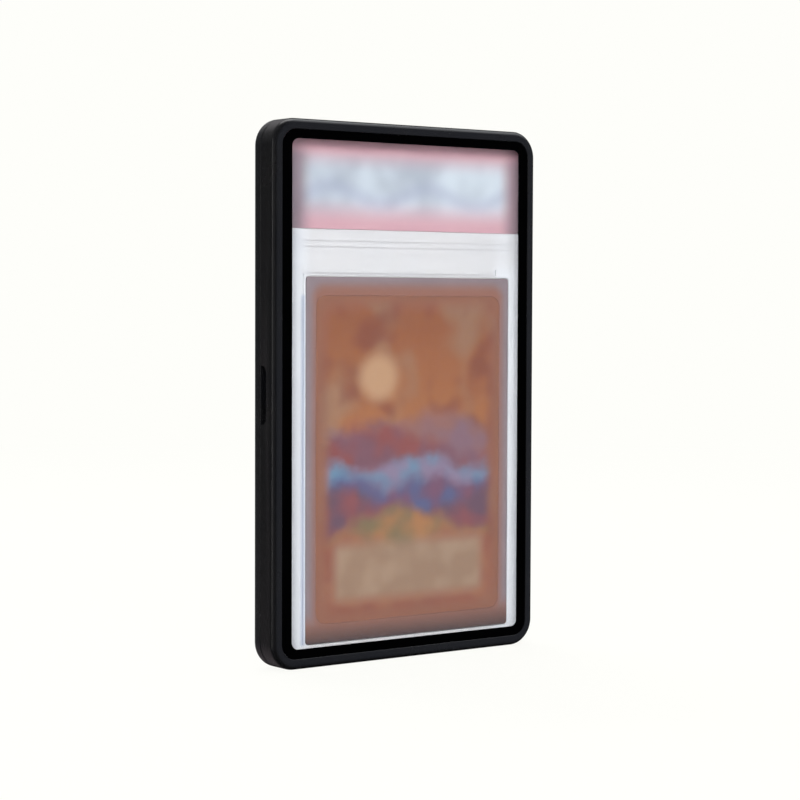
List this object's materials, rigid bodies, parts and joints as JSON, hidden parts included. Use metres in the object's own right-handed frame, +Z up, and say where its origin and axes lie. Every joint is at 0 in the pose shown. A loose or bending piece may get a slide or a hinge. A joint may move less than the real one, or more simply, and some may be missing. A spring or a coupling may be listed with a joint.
{
  "type": "magnetic card holder",
  "caption": "Upright black frame that closes with magnets on a slabbed trading card, with a clear window front and back and a finger notch beside the parting line.",
  "frame": {"origin": "under the middle of the bottom edge, on the surface that the holder stands on", "axes": "+Z up along the holder's height, +X to the right across its width seen from the front, -Y out of the front window"},
  "size_m": [0.09, 0.01, 0.147],
  "materials": {
    "black_plastic": "satin black",
    "black_print": "gloss black print",
    "acrylic": "clear, polished",
    "adhesive": "black bonding film",
    "nickel": "nickel plate",
    "slab_plastic": "clear moulded",
    "white_plastic": "white, satin",
    "mat_rubber": "matt grey-mauve",
    "card_stock": null,
    "label_paper": "printed paper, plain"
  },
  "bodies": {
    "front_frame": {"front_shell": "black_plastic", "front_window": "acrylic", "front_border": "black_print", "front_adhesive": "adhesive", "front_magnet_left_lower": "nickel", "front_magnet_left_upper": "nickel", "front_magnet_bottom_left": "nickel", "front_magnet_top_left": "nickel", "front_magnet_right_lower": "nickel", "front_magnet_right_upper": "nickel", "front_magnet_bottom_right": "nickel", "front_magnet_top_right": "nickel"},
    "rear_cover": {"rear_shell": "black_plastic", "rear_window": "acrylic", "rear_border": "black_print", "rear_adhesive": "adhesive", "rear_magnet_left_lower": "nickel", "rear_magnet_left_upper": "nickel", "rear_magnet_bottom_left": "nickel", "rear_magnet_top_left": "nickel", "rear_magnet_right_lower": "nickel", "rear_magnet_right_upper": "nickel", "rear_magnet_bottom_right": "nickel", "rear_magnet_top_right": "nickel"},
    "slab": {"slab_front_shell": "slab_plastic", "slab_back_shell": "slab_plastic", "slab_insert": "white_plastic", "card_mat": "mat_rubber", "card": "card_stock", "label": "label_paper"}
  },
  "joints": [
    {"name": "cover_pull", "type": "slide", "parent": "front_frame", "child": "rear_cover", "axis": [0, 1, 0], "range_m": [0, 0.06]},
    {"name": "slab_lift", "type": "slide", "parent": "front_frame", "child": "slab", "axis": [0, 1, 0], "range_m": [0, 0.03]}
  ],
  "couplings": [
    {"joint": "slab_lift", "follows": "cover_pull", "ratio": 0.5}
  ]
}
